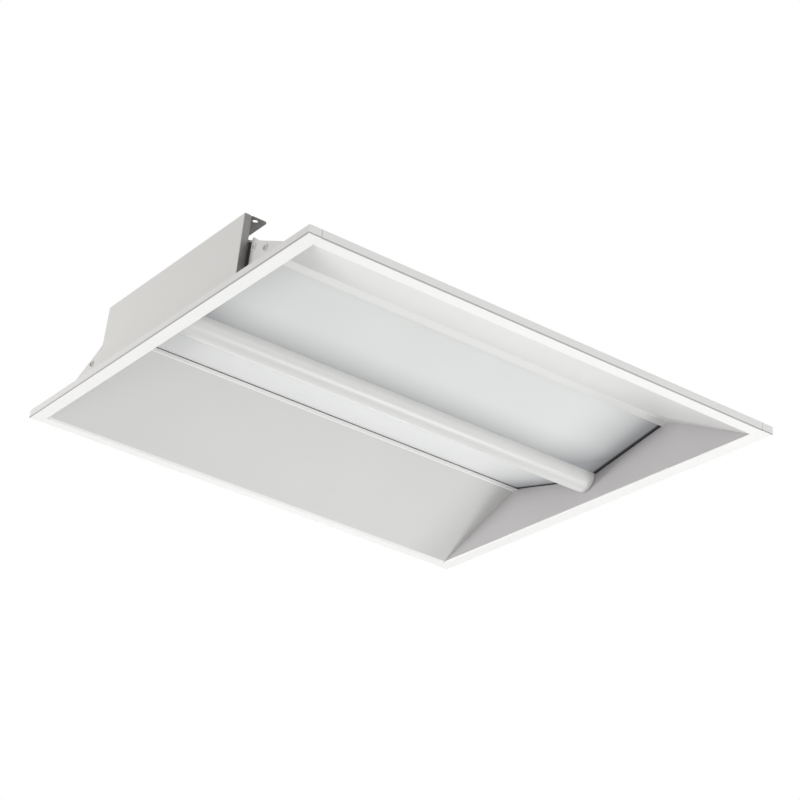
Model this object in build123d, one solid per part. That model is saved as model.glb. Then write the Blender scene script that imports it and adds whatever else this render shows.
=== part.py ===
"""Recessed lay-in troffer light: folded-steel housing with two frosted diffusers and a centre spine.

Frame: the spine runs along X, +Z is up into the ceiling, and the underside of the trim is z = 0.
The near end is at -X, the right-hand side at -Y. All lengths are in millimetres.
"""
from build123d import *
import os
from math import asin, atan2, cos, hypot, sin, tan

# ---- Trim and sheet metal -------------------------------------------------------------------
module = 603.0            # outer side of the square trim, to lay in a 610 mm ceiling grid
trim_width = 15.0         # flat trim flange seen from the room
lip_height = 10.0         # upturned edge of the trim
sheet = 0.8               # painted steel of the outer parts
skin = 0.6                # painted steel of the inner reflectors
bend = 0.8                # inner bend radius
seam = 0.1                # gap between sheets that seat on or butt against each other
running = 0.05            # radial clearance of a turning fit
screw_clear = 0.1         # radial clearance round a fixed screw or rivet

# ---- Cross-section of the room side ---------------------------------------------------------
crease_y, crease_z = 146.0, 59.9      # top of the side reflector, on its room face
ledge_in, ledge_drop = 10.6, 2.3      # ledge that carries the diffuser, from the crease
crease_bend = 2.0                     # inner radius of the crease
spine_bottom_z = 14.5                 # lowest point of the spine above the trim
spine_radius = 17.0                   # half-round room face of the spine
lens_rise = 2.5                       # underside of the diffuser above the spine's centre
lens_thickness = 2.0
lens_overlap = 6.4                    # diffuser width that lies over the ledge
lens_in_groove = 3.5                  # diffuser width that lies in the spine's groove
gasket = 1.2                          # foam between ledge and diffuser
lens_end_gap = 2.6                    # from the diffuser's end to the end wall

# ---- End plate, end cap and end reflector ---------------------------------------------------
shoulder_rise = 2.5                   # shoulder edge above the side reflector's room face
shoulder_out, shoulder_up = 11.0, 2.1  # top inner corner of a shoulder, from the crease
shoulder_foot_out = 27.0              # where the shoulder edge meets the slope, from the crease
slot_width = 7.5                      # between a shoulder and the end cap's foot
web_over_port = 6.0                   # low web's edge above the lower spine screw
cap_setback = 7.3                     # front of the end cap behind the trim's outer edge
cap_rise = 7.4                        # top of the end cap above the upper reflector
cap_taper = 2.0                       # each side of the end cap leans in by this much
cap_top_flange = 28.0
cap_corner = 4.0
hanger_radius = 3.0
hanger_in = 11.0                      # hole centre from the top flange's inner edge
hanger_side = 7.1                     # hole centre from the flange's side edge
relief_radius = 1.2
end_reflector_lift = 1.0              # lower edge of the end reflector above the trim's bend
clinch_out, clinch_drop = (17.0, 42.0), 8.4   # buttons from the crease, below the shoulder line
clinch_radius, clinch_rise, clinch_edge, clinch_sides = 4.0, 1.3, 0.8, 16

# ---- Spine ----------------------------------------------------------------------------------
spine_wall = 1.8
spine_cap, cap_chamfer = 2.5, 0.8     # end caps: thickness, and the eased edge at the end wall
deck_shoulder_rise, deck_rise = 8.5, 14.5    # ends of each LED seat above the spine's centre
deck_half = 12.0
deck_wall = 3.5
cavity_half = 10.5
web = 2.0
port_rise = (-10.5, 5.0)              # screw ports on the centre web, from the spine's centre
port_radius, port_boss = 1.6, 3.4
board_width, board_thickness, board_length = 6.6, 1.2, 540.0
chip_side, chip_height, chips_per_board = 3.0, 0.65, 28

# ---- Upper reflector ------------------------------------------------------------------------
pan_foot_out, pan_start_out = 30.0, 12.0     # foot flange and start of the slope, from the crease
pan_crown_y, pan_inner_y = 104.0, 60.0
trough_half, trough_over_deck = 36.0, 16.0
pan_big_bend, pan_mid_bend = 30.0, 16.0
spring_leaf, spring_width, spring_pitch = 0.4, 12.0, 180.0
spring_inset, spring_toe, spring_arm, spring_weld = 0.4, 3.5, 6.0, 9.0

# ---- Driver bay and covers ------------------------------------------------------------------
cover_half_width = 76.0
cover_end_gap = 4.2                   # both covers stay clear of the end caps' top flanges
splice_length = 148.0                 # splice cover, up to the divider
divider_foot, divider_side_gap = 8.0, 2.4
hinge_out, hinge_rise = 8.0, 0.2
barrel_radius, pin_radius, pin_head, pin_head_width = 2.2, 1.1, 1.8, 1.0
knuckle, knuckle_gap, knuckle_count = 66.0, 0.4, 3
leaf_width = 14.0
driver_length, driver_width, driver_height, driver_corner = 240.0, 44.0, 20.0, 1.5
driver_gap, driver_headroom = 34.0, 0.3      # from the divider, and below the pan's crown
driver_tab, driver_tab_thickness = 10.0, 1.0
stud_in, stud_radius = 5.0, 1.6
stud_head, stud_head_height, stud_slot = 6.0, 2.2, 1.2
bar_half, bar_width, bar_height, bar_clear = 5.0, 3.0, 1.4, 0.3
knockout_radius = 11.1
bushing_bore, bushing_flange, bushing_rim, bushing_drop = 8.0, 14.0, 2.0, 8.0
supply_in, supply_out, earth_in = 47.0, 28.0, 22.0    # from the splice cover's outer end and axis
grommet_hole, grommet_bore, grommet_flange, grommet_rise = 4.0, 2.6, 5.5, 11.0
plug_length, plug_width, plug_height, plug_travel = 20.0, 14.0, 11.0, 12.0
socket_wall, socket_back, socket_gap = 0.8, 12.0, 29.0
ridge_length, ridge_out, ridge_up = 3.0, 1.0, 0.6
screw_head, screw_head_height, spine_screw_grip = 3.6, 1.8, 14.0

# ---- Swing-out grid clips and corners -------------------------------------------------------
clip_from_end, clip_in, clip_rise = 86.5, 38.5, 10.3
clip_sheet, clip_width, clip_reach, clip_hook, clip_corner = 1.2, 12.0, 46.0, 7.0, 3.5
clip_base_width = 20.0
clip_riser_in, clip_base_in = 49.5, 31.5
pivot_radius, pivot_head, pivot_head_height, pivot_head_sides = 2.0, 3.8, 1.2, 12
gusset_arm, gusset_inset = 40.0, 4.0

# ---- Values worked out from the ones above --------------------------------------------------
half = module / 2
bend_outer = bend + sheet
wall_room_x = half - trim_width - bend_outer       # room face of the end plate's wall
wall_back_x = wall_room_x + sheet
skin_room_x = wall_room_x - skin                   # room face of the end reflector
inner_x = skin_room_x - seam                       # half length of what fits between the ends
slope_foot_y = half - trim_width
slope = atan2(crease_z, slope_foot_y - crease_y)
ledge_y, ledge_z = crease_y - ledge_in, crease_z - ledge_drop
spine_centre_z = spine_bottom_z + spine_radius
lens_seat_z = spine_centre_z + lens_rise
deck_shoulder_z, deck_z = spine_centre_z + deck_shoulder_rise, spine_centre_z + deck_rise
port_z = tuple(spine_centre_z + rise for rise in port_rise)
web_height = port_z[0] + web_over_port
lens_run = ledge_y - spine_radius
lens_climb = ledge_z - lens_seat_z
lens_angle = atan2(lens_climb, lens_run) + asin((sheet + gasket) / hypot(lens_run, lens_climb))
lens_width = lens_run / cos(lens_angle) + lens_overlap
lens_half_length = skin_room_x - lens_end_gap
trough_z = deck_z + trough_over_deck
trough_top_z = trough_z + skin
pan_crown_z = trough_top_z + seam + driver_height + driver_headroom
pan_top_z = pan_crown_z + skin
pan_foot_y, pan_start_y = crease_y + pan_foot_out, crease_y + pan_start_out
shoulder_y, shoulder_z = crease_y + shoulder_out, crease_z + shoulder_up
shoulder_foot_y = crease_y + shoulder_foot_out
cap_front_x = half - cap_setback
cap_height = pan_top_z + cap_rise
cap_half_foot = shoulder_y - slot_width
cap_half_top = cap_half_foot - cap_taper
cap_back_x = wall_back_x + seam                    # side flanges end against the end plate
cover_z = pan_top_z + seam                         # underside of the covers
cover_top_z = cover_z + sheet
cover_end_x = cap_front_x - cap_top_flange - cover_end_gap
divider_x = splice_length - cover_end_x            # between the splice bay and the driver bay
driver_x = divider_x + driver_gap + driver_length / 2
stud_x, stud_y = (divider_x + cover_end_x) / 2, stud_in - cover_half_width
hinge_y = cover_half_width + hinge_out
hinge_z = pan_top_z + hinge_rise + barrel_radius
hinge_length = knuckle_count * (knuckle + knuckle_gap) - knuckle_gap
hinge_start_x = stud_x - hinge_length / 2
supply_x, earth_x = supply_in - cover_end_x, earth_in - cover_end_x
grommet_z = trough_top_z + grommet_rise
socket_x = supply_x + socket_gap                   # mouth of the disconnect's fixed half
socket_low = trough_top_z + seam
plug_low = socket_low + socket_wall + 2 * seam
clip_x, clip_y = half - clip_from_end, half - clip_in
clip_riser_y, clip_base_y = half - clip_riser_in, half - clip_base_in


def slope_z(y, above=0.0):
    """Height of the side reflector's room face at |y|, raised square to the sheet by `above`."""
    return (slope_foot_y - abs(y)) * tan(slope) + above / cos(slope)


def on_lens(along, above):
    """Point (y, z) of the right-hand diffuser: along it from the spine, and above its underside."""
    y = -spine_radius - along * cos(lens_angle) + above * sin(lens_angle)
    return y, lens_seat_z + along * sin(lens_angle) + above * cos(lens_angle)


def outline(points, radii=0.0):
    """Closed face through the points, each corner rounded by its radius."""
    return make_face(FilletPolyline(*points, radius=radii, close=True))


def folded(path, thickness, radii):
    """Section of a folded sheet: `path` is one face of it, and the metal lies to its left."""
    steps = [(b[0] - a[0], b[1] - a[1]) for a, b in zip(path, path[1:])]
    units = [(dx / hypot(dx, dy), dy / hypot(dx, dy)) for dx, dy in steps]
    normals = [(-dy, dx) for dx, dy in units]
    far = [(path[0][0] + normals[0][0] * thickness, path[0][1] + normals[0][1] * thickness)]
    near_radii, far_radii = [0.0], [0.0]
    for i, radius in enumerate(radii):
        (ax, ay), (bx, by) = normals[i], normals[i + 1]
        scale = thickness / (1 + ax * bx + ay * by)
        corner = path[i + 1]
        far.append((corner[0] + (ax + bx) * scale, corner[1] + (ay + by) * scale))
        turns_left = units[i][0] * units[i + 1][1] - units[i][1] * units[i + 1][0] > 0
        near_radii.append(radius + thickness if turns_left else radius)
        far_radii.append(radius if turns_left else radius + thickness)
    far.append((path[-1][0] + normals[-1][0] * thickness, path[-1][1] + normals[-1][1] * thickness))
    near_radii.append(0.0)
    far_radii.append(0.0)
    return outline(list(path) + far[::-1], near_radii + far_radii[::-1])


def along_x(face, start, end):
    """Extrude a (y, z) section from x = start to x = end."""
    return extrude(Plane.YZ.offset(start) * face, amount=end - start)


def along_y(face, start, end):
    """Extrude an (x, z) section from y = start to y = end."""
    return extrude(Plane.XZ.offset(-end) * face, amount=end - start)


def along_z(face, start, end):
    """Extrude an (x, y) outline from z = start to z = end."""
    return extrude(Plane.XY.offset(start) * face, amount=end - start)


def block(x, y, z):
    """Box between the two limits given for each axis."""
    centre = [(a + b) / 2 for a, b in (x, y, z)]
    return Pos(*centre) * Box(x[1] - x[0], y[1] - y[0], z[1] - z[0])


def rod(radius, start, end, centre):
    """Upright round bar from z = start to z = end, centred on (x, y)."""
    return Pos(*centre, start) * Cylinder(radius, end - start, align=(Align.CENTER, Align.CENTER, Align.MIN))


def rod_x(radius, start, end, centre):
    """Round bar from x = start to x = end, centred on (y, z)."""
    bar = Cylinder(radius, end - start, align=(Align.CENTER, Align.CENTER, Align.MIN))
    return Pos(start, *centre) * Rot(0, 90, 0) * bar


def mirrored(shape):
    """The same piece, or group of pieces, on the left-hand (+Y) side."""
    pieces = [mirror(solid, about=Plane.XZ) for solid in shape.solids()]
    return pieces[0] if len(pieces) == 1 else Compound(pieces)


def turned(shape):
    """The same piece at the far (+X) end."""
    return Rot(0, 0, 180) * shape


# ---- Ends -----------------------------------------------------------------------------------
def end_plate():
    """Near end plate: lip, trim flange, corner tabs, low web and two sloping shoulders."""
    strip_end = -(wall_room_x + bend_outer) - seam
    trim = along_y(folded([(-half, lip_height), (-half, 0), (strip_end, 0)], sheet, [bend]), -half, half)
    wall_path = [(strip_end, 0), (-wall_room_x, 0), (-wall_room_x, shoulder_z + sheet)]
    side = slope_foot_y - seam
    wall = along_y(folded(wall_path, sheet, [bend]), -side, side)
    edge = [(side, -sheet), (side, slope_z(side) + shoulder_rise),
            (shoulder_foot_y, slope_z(shoulder_foot_y) + shoulder_rise),
            (shoulder_y, shoulder_z), (shoulder_y, web_height)]
    section = outline(edge + [(-y, z) for y, z in edge[::-1]],
                      [0, 0, 0, cap_corner / 2, 0] + [0, cap_corner / 2, 0, 0, 0])
    wall &= along_x(section, -half, -inner_x)
    plate = trim + wall
    for y in (-half, half - sheet):
        plate += block((-half, strip_end), (y, y + sheet), (0, lip_height))
    return plate - rod_x(port_radius + screw_clear, -half, -inner_x, (0, port_z[0]))


def end_cap():
    """Tall tray in front of the end plate: front, foot, two side flanges and a deep top flange."""
    foot_z = sheet + seam
    back_x = -cap_back_x

    def trapezium(inset):
        low, high = foot_z + inset, cap_height - inset
        return [(-cap_half_foot + inset, low), (-cap_half_top + inset, high),
                (cap_half_top - inset, high), (cap_half_foot - inset, low)]

    cap = along_x(outline(trapezium(0)), -cap_front_x, back_x)
    front = cap.edges().group_by(Axis.X)[0].sort_by(Axis.Z)[1:]
    cap = fillet(front, bend)
    cap -= along_x(outline(trapezium(sheet)), -cap_front_x + sheet, back_x)
    cap -= block((back_x - bend_outer, back_x + sheet), (-half, half), (0, foot_z + bend_outer))
    flange_end = -cap_front_x + cap_top_flange
    flange = outline([(-cap_front_x + bend, -cap_half_top + seam), (flange_end, -cap_half_top + seam),
                      (flange_end, cap_half_top - seam), (-cap_front_x + bend, cap_half_top - seam)],
                     [0, cap_corner, cap_corner, 0])
    cap += along_z(flange, cap_height - sheet, cap_height)
    for side in (-1, 1):
        cap -= rod(hanger_radius, cap_height - 2 * sheet, cap_height + sheet,
                   (flange_end - hanger_in, side * (cap_half_top - hanger_side)))
        cap -= rod(relief_radius, cap_height - 2 * sheet, cap_height + sheet,
                   (back_x, side * cap_half_top))
    return cap


def end_reflector():
    """White inner end wall: closes the recess and the mixing chamber above the diffusers."""
    low = bend_outer + end_reflector_lift
    side = slope_foot_y - low / tan(slope)
    raised = shoulder_rise - seam
    edge = [(side, low), (shoulder_foot_y, slope_z(shoulder_foot_y) + raised),
            (pan_start_y, slope_z(pan_start_y) + raised),
            (pan_crown_y, pan_top_z), (pan_inner_y, pan_top_z),
            (trough_half, trough_top_z)]
    wall = along_x(outline(edge + [(-y, z) for y, z in edge[::-1]]), -wall_room_x, -skin_room_x)
    for z in port_z:
        wall -= rod_x(port_radius + screw_clear, -half, -inner_x, (0, z))
    return wall


def light_seals():
    """Black foam that closes the slots between each end cap and the shoulders."""
    slot = [(cap_half_foot + seam, web_height + seam), (shoulder_y - seam, web_height + seam),
            (shoulder_y - seam, slope_z(shoulder_y) + seam), (cap_half_foot + seam, slope_z(cap_half_foot))]
    strip = along_x(outline(slot), -wall_back_x + seam, -wall_room_x)
    near = [strip, mirrored(strip)]
    return Compound(near + [turned(piece) for piece in near])


def end_rivets():
    """Domed clinch buttons that join each end plate to its end reflector."""
    foot = RegularPolygon(clinch_radius, clinch_sides)
    crown = RegularPolygon(clinch_radius - 2 * clinch_edge, clinch_sides)
    dome = loft([foot, Pos(0, 0, clinch_rise) * crown])
    near = []
    for out in clinch_out:
        y = crease_y + out
        z = slope_z(y) + shoulder_rise - clinch_drop
        near += [Pos(-wall_back_x, side_y, z) * Rot(0, -90, 0) * dome for side_y in (-y, y)]
    return Compound(near + [turned(piece) for piece in near])


# ---- Sides and diffusers --------------------------------------------------------------------
def side_reflector():
    """Right-hand side: lip, trim flange, sloping reflector, crease and diffuser ledge."""
    trim_path = [(-half, lip_height), (-half, 0), (-slope_foot_y, 0)]
    path = trim_path + [(-crease_y, crease_z), (-ledge_y, ledge_z)]
    body = along_x(folded(path, sheet, [bend, bend, crease_bend]), -inner_x, inner_x)
    trim = folded(trim_path, sheet, [bend])
    trim_x = wall_room_x + bend_outer
    return body + along_x(trim, -trim_x, trim_x)


def diffuser():
    """Frosted panel from the spine's groove to the ledge."""
    corners = [on_lens(s, h) for s, h in ((-lens_in_groove, 0), (lens_width, 0),
                                          (lens_width, lens_thickness), (-lens_in_groove, lens_thickness))]
    return along_x(outline(corners), -lens_half_length, lens_half_length)


def diffuser_gasket():
    """Dark foam under the diffuser's outer edge and across its two ends."""
    inner = lens_width - lens_overlap + gasket / 2
    ledge = [on_lens(s, h) for s, h in ((inner, -gasket + seam), (lens_width, -gasket + seam),
                                        (lens_width, -seam), (inner, -seam))]
    strip = along_x(outline(ledge), -inner_x, inner_x)
    end = [on_lens(s, h) for s, h in ((seam, -2 * seam), (lens_width, -2 * seam),
                                      (lens_width, lens_thickness), (seam, lens_thickness))]
    for start, stop in ((-inner_x, -lens_half_length - seam), (lens_half_length + seam, inner_x)):
        strip += along_x(outline(end), start, stop)
    return strip


def pan_z(y):
    """Height of the upper reflector's underside at |y| on its outer slope."""
    start = slope_z(pan_start_y, sheet + seam)
    return start + (pan_start_y - abs(y)) * (pan_crown_z - start) / (pan_start_y - pan_crown_y)


def lens_clips():
    """Leaf springs under the upper reflector that press the right-hand diffuser on its ledge."""
    tip_y = ledge_y - spring_inset
    toe_y, bend_y = tip_y - spring_toe, tip_y - spring_arm
    weld_y = bend_y - spring_weld

    def lens_top(y):
        return lens_seat_z + (y - spine_radius) * tan(lens_angle) + lens_thickness / cos(lens_angle)

    path = [(-weld_y, pan_z(weld_y) - spring_leaf - seam), (-bend_y, pan_z(bend_y) - spring_leaf - seam),
            (-tip_y, lens_top(tip_y) + 2 * spring_leaf), (-toe_y, lens_top(toe_y) + spring_leaf)]
    section = folded(path[::-1], spring_leaf, [0, 0])
    return Compound([along_x(section, x - spring_width / 2, x + spring_width / 2)
                     for x in (-spring_pitch, 0, spring_pitch)])


# ---- Spine ----------------------------------------------------------------------------------
def spine_outer():
    """Outer section of the spine without its grooves."""
    disc = Pos(0, spine_centre_z) * Circle(spine_radius)
    lower = disc & (Pos(0, spine_centre_z - spine_radius / 2) * Rectangle(2 * spine_radius, spine_radius))
    upper = outline([(-spine_radius, spine_centre_z), (spine_radius, spine_centre_z),
                     (spine_radius, deck_shoulder_z), (deck_half, deck_z),
                     (-deck_half, deck_z), (-spine_radius, deck_shoulder_z)])
    return lower + upper


def groove():
    """Section of the right-hand groove that holds the diffuser's inner edge."""
    reach = lens_in_groove + 2 * seam
    return outline([on_lens(s, h) for s, h in ((-reach, -seam), (spine_wall, -seam),
                                               (spine_wall, lens_thickness + gasket / 2),
                                               (-reach, lens_thickness + gasket / 2))])


def seat_frame():
    """Local frame of the right-hand LED seat: origin at its middle, x across the seat, z out of it."""
    middle = Vector(0, -(spine_radius + deck_half) / 2, (deck_shoulder_z + deck_z) / 2)
    across = Vector(0, -(spine_radius - deck_half), deck_shoulder_z - deck_z)
    out = Vector(0, deck_shoulder_z - deck_z, spine_radius - deck_half)
    return Plane(origin=middle, x_dir=across, z_dir=out)


def spine_heat_sink():
    """Extruded bar: half-round room face, diffuser grooves, tilted LED seats, web and screw ports."""
    inner_round = Pos(0, spine_centre_z) * Circle(spine_radius - spine_wall)
    lower_half = Pos(0, spine_centre_z - spine_radius / 2) * Rectangle(2 * spine_radius, spine_radius)
    chimney_top = deck_z - deck_wall
    chimney = Pos(0, (spine_centre_z + chimney_top) / 2) * Rectangle(2 * cavity_half,
                                                                     chimney_top - spine_centre_z)
    cavity = (inner_round & lower_half) + chimney
    middle = (spine_centre_z + deck_z) / 2
    cavity -= Pos(0, middle - spine_radius / 2) * Rectangle(web, 2 * spine_radius)
    for z in port_z:
        cavity -= Pos(0, z) * Circle(port_boss)
    section = spine_outer() - cavity - groove() - mirror(groove(), about=Plane.YZ)
    for z in port_z:
        section -= Pos(0, z) * Circle(port_radius)
    length = inner_x - spine_cap - seam
    return along_x(section, -length, length)


def spine_cap_piece():
    """Near end cap of the spine, its round edge eased where it meets the end wall."""
    start = -inner_x
    section = spine_outer() - groove() - mirror(groove(), about=Plane.YZ)
    cap = along_x(section, start, start + spine_cap)
    round_edges = [edge for edge in cap.edges().filter_by(GeomType.CIRCLE)
                   if edge.center().X < start + seam]
    cap = chamfer(round_edges, cap_chamfer)
    for z in port_z:
        cap -= rod_x(port_radius + screw_clear, start - sheet, start + 2 * spine_cap, (0, z))
    return cap


def hex_head():
    """Head of a hex screw, standing on the origin's plane."""
    return extrude(RegularPolygon(screw_head, 6), amount=screw_head_height)


def spine_screws():
    """Screws from outside each end wall into the spine's ports."""
    piece = Rot(0, -90, 0) * (hex_head() + rod(port_radius - screw_clear, -spine_screw_grip, 0, (0, 0)))
    near = [Pos(-face, 0, z) * piece for z, face in zip(port_z, (wall_back_x, wall_room_x))]
    return Compound(near + [turned(one) for one in near])


def led_board():
    """Right-hand board on its tilted seat."""
    plate = Box(board_width, board_length, board_thickness, align=(Align.CENTER, Align.CENTER, Align.MIN))
    return seat_frame() * plate


def led_chips():
    """Row of LED packages on the right-hand board."""
    pitch = board_length / chips_per_board
    chip = Box(chip_side, chip_side, chip_height, align=(Align.CENTER, Align.CENTER, Align.MIN))
    row = [Pos(0, pitch * (i + 0.5) - board_length / 2, board_thickness) * chip
           for i in range(chips_per_board)]
    return Compound([seat_frame() * piece for piece in row])


# ---- Upper reflector and driver bay ---------------------------------------------------------
def upper_reflector():
    """Domed pan over both diffusers, with the driver trough between its two crowns."""
    start = slope_z(pan_start_y, sheet + seam)
    foot = slope_z(pan_foot_y, sheet + seam)
    edge = [(-pan_foot_y, foot), (-pan_start_y, start), (-pan_crown_y, pan_crown_z),
            (-pan_inner_y, pan_crown_z), (-trough_half, trough_z)]
    path = edge + [(-y, z) for y, z in edge[::-1]]
    radii = [bend, pan_big_bend, pan_mid_bend, 2 * bend]
    pan = along_x(folded(path, skin, radii + radii[::-1]), -inner_x, inner_x)
    slot = outline([(stud_x + x * (bar_half + bar_clear), stud_y + y * (bar_width / 2 + bar_clear))
                    for x, y in ((-1, -1), (1, -1), (1, 1), (-1, 1))])
    pan -= along_z(slot, pan_crown_z - sheet, pan_top_z + sheet)
    return pan


def bay_screw_spots():
    """Driver screws at its two end tabs, and the earth screw."""
    reach = driver_length / 2 + driver_tab / 2
    return [(driver_x - reach, 0), (driver_x + reach, 0), (earth_x, 0)]


def splice_screw_spots():
    """Screws that hold the splice cover."""
    middle = (divider_x - cover_end_x) / 2
    return [(middle, stud_y), (middle, -stud_y)]


def led_driver():
    """Metal-cased driver with two mounting tabs."""
    low = trough_top_z + seam
    body = block((driver_x - driver_length / 2, driver_x + driver_length / 2),
                 (-driver_width / 2, driver_width / 2), (low, low + driver_height))
    body = fillet(body.edges().filter_by(Axis.X), driver_corner)
    reach = driver_length / 2 + driver_tab
    tabs = block((driver_x - reach, driver_x + reach), (-driver_width / 4, driver_width / 4),
                 (low, low + driver_tab_thickness))
    return body + tabs


def driver_screws():
    """Heads of the two screws that hold the driver's tabs on the trough."""
    face = trough_top_z + seam + driver_tab_thickness
    return Compound([Pos(x, y, face) * hex_head() for x, y in bay_screw_spots()[:2]])


def earth_screw():
    """Head of the earth screw in the splice bay."""
    return Pos(*bay_screw_spots()[2], trough_top_z) * hex_head()


def compartment_divider():
    """Upright plate between the splice bay and the driver bay, with a foot and a lead hole."""
    low, high = trough_top_z + seam, cover_z - seam
    reach = trough_half - divider_side_gap
    flare = (pan_inner_y - trough_half) * (high - low) / (pan_crown_z - trough_z)
    upright = outline([(-reach, low), (reach, low), (reach + flare / 2, high - sheet),
                       (-reach - flare / 2, high - sheet)])
    plate = along_x(upright, divider_x, divider_x + sheet)
    plate += block((divider_x, divider_x + divider_foot), (-reach, reach), (low, low + sheet))
    return plate - rod_x(grommet_hole, divider_x - sheet, divider_x + 2 * sheet, (0, grommet_z))


def lead_grommet():
    """Rubber grommet in the divider's lead hole, its flange on the driver's side."""
    start, end = divider_x, divider_x + 2 * sheet + seam
    ring = rod_x(grommet_hole - screw_clear, start, end, (0, grommet_z))
    ring += rod_x(grommet_flange, divider_x + sheet + seam, end, (0, grommet_z))
    return ring - rod_x(grommet_bore, start, end, (0, grommet_z))


def knuckles(owner):
    """Start and end of each hinge knuckle of one owner: 0 for the fixed leaf, 1 for the cover."""
    pitch = knuckle + knuckle_gap
    return [(hinge_start_x + i * pitch, hinge_start_x + i * pitch + knuckle)
            for i in range(knuckle_count) if i % 2 == owner]


def with_barrels(plate, owner, inner, outer):
    """Add an owner's barrels, each joined to its plate, and bore them for the pin."""
    for start, end in knuckles(owner):
        plate += block((start, end), (inner, outer), (cover_z, cover_top_z))
        plate += rod_x(barrel_radius, start, end, (hinge_y, hinge_z))
        plate -= rod_x(pin_radius + running, start, end, (hinge_y, hinge_z))
    return plate


def driver_cover():
    """Hinged cover of the driver bay, with its barrels and the stud's hole."""
    free = hinge_y - barrel_radius - 2 * hinge_rise
    start, end = divider_x + sheet, cover_end_x
    plate = block((start, end), (-cover_half_width, free), (cover_z, cover_top_z))
    plate -= rod(stud_radius + running, cover_z - sheet, cover_top_z + sheet, (stud_x, stud_y))
    return with_barrels(plate, 1, free - sheet, hinge_y)


def cover_hinge_leaf():
    """Fixed hinge leaf on the upper reflector."""
    inner = hinge_y + barrel_radius + 2 * hinge_rise
    end = hinge_start_x + hinge_length
    plate = block((hinge_start_x, end), (inner, inner + leaf_width), (cover_z, cover_top_z))
    return with_barrels(plate, 0, hinge_y, inner + sheet)


def cover_hinge_pin():
    """Pin through all the knuckles, headed at the driver cover's end."""
    start, end = hinge_start_x - seam, hinge_start_x + hinge_length + seam
    pin = rod_x(pin_radius, start, end, (hinge_y, hinge_z))
    return pin + rod_x(pin_head, end, end + pin_head_width, (hinge_y, hinge_z))


def cover_stud():
    """Quarter-turn stud: slotted head, shank and a cross bar that locks under the pan."""
    bar_top = pan_crown_z - bar_clear
    face = cover_top_z + seam
    stud = rod(stud_radius, bar_top - bar_height, face, (stud_x, stud_y))
    stud += rod(stud_head, face, face + stud_head_height, (stud_x, stud_y))
    stud += block((stud_x - bar_half, stud_x + bar_half), (stud_y - bar_width / 2, stud_y + bar_width / 2),
                  (bar_top - bar_height, bar_top))
    top = face + stud_head_height
    return stud - block((stud_x - stud_head, stud_x + stud_head),
                        (stud_y - stud_slot / 2, stud_y + stud_slot / 2), (top - stud_slot, top))


def splice_cover():
    """Fixed cover of the splice bay with the supply entry and a second knockout."""
    start, end = -cover_end_x, divider_x
    plate = block((start, end), (-cover_half_width, cover_half_width), (cover_z, cover_top_z))
    for y in (-supply_out, supply_out):
        plate -= rod(knockout_radius, cover_z - sheet, cover_top_z + sheet, (supply_x, y))
    return plate


def splice_screws():
    """Heads of the two screws that hold the splice cover."""
    return Compound([Pos(x, y, cover_top_z) * hex_head() for x, y in splice_screw_spots()])


def supply_bushing():
    """Snap-in bushing of the supply entry."""
    at = (supply_x, -supply_out)
    body = rod(knockout_radius - screw_clear, cover_top_z - bushing_drop, cover_top_z + seam, at)
    body += rod(bushing_flange, cover_top_z, cover_top_z + bushing_rim, at)
    return body - rod(bushing_bore, cover_top_z - 2 * bushing_drop, cover_top_z + bushing_drop, at)


def knockout_blank():
    """Second knockout, still in place, flush in its hole."""
    at = (supply_x, supply_out)
    return rod(knockout_radius - screw_clear, cover_z, cover_top_z, at)


def disconnect_socket():
    """Fixed half of the luminaire disconnect, open towards the supply entry."""
    mouth = plug_width / 2 + 2 * seam
    outer = mouth + socket_wall
    top = plug_low + plug_height + 2 * seam
    body = block((socket_x, socket_x + plug_travel + socket_back), (-outer, outer),
                 (socket_low, top + socket_wall))
    return body - block((socket_x, socket_x + plug_travel), (-mouth, mouth),
                        (socket_low + socket_wall, top))


def disconnect_plug():
    """Pull-out half of the luminaire disconnect, with a finger ridge."""
    front = socket_x + plug_travel - 3 * seam
    back, top = front - plug_length, plug_low + plug_height
    body = block((back, front), (-plug_width / 2, plug_width / 2), (plug_low, top))
    side = plug_width / 2 + ridge_out
    return body + block((back, back + ridge_length), (-side, side), (plug_low, top + ridge_up))


# ---- Grid clips and corners -----------------------------------------------------------------
def clip_top_z():
    """Height of the face on which the grid clips turn."""
    return slope_z(clip_riser_y, sheet + seam) + clip_rise


def clip_bracket():
    """Bracket on the slope of the near right corner that carries a grid clip."""
    top = clip_top_z()
    path = [(-clip_base_y, slope_z(clip_base_y, sheet + seam)),
            (-clip_riser_y, slope_z(clip_riser_y, sheet + seam)),
            (-clip_riser_y, top), (-clip_y - clip_width / 2, top)]
    body = along_x(folded(path, clip_sheet, [0, 0]), -clip_x - clip_base_width / 2,
                   -clip_x + clip_base_width / 2)
    return body - rod(pivot_radius + screw_clear, top - 2 * clip_sheet, top + clip_sheet,
                      (-clip_x, -clip_y))


def grid_clip():
    """Swing-out clip of the near right corner, stowed along the trim."""
    low = clip_top_z() + seam
    tip = clip_reach - clip_width / 2
    path = [(tip, low - clip_hook), (tip, low), (-clip_width / 2, low)]
    arm = along_y(folded(path[::-1], clip_sheet, [bend]), -clip_width / 2, clip_width / 2)
    end, eased = clip_width / 2, clip_width / 2 - clip_corner
    arm &= along_z(outline([(-end, -eased), (-eased, -end), (clip_reach, -end),
                            (clip_reach, end), (-eased, end), (-end, eased)]),
                   low - 2 * clip_hook, low + 2 * clip_hook)
    arm -= rod(pivot_radius + running, low - clip_sheet, low + 2 * clip_sheet, (0, 0))
    return Pos(-clip_x, -clip_y, 0) * arm


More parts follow.
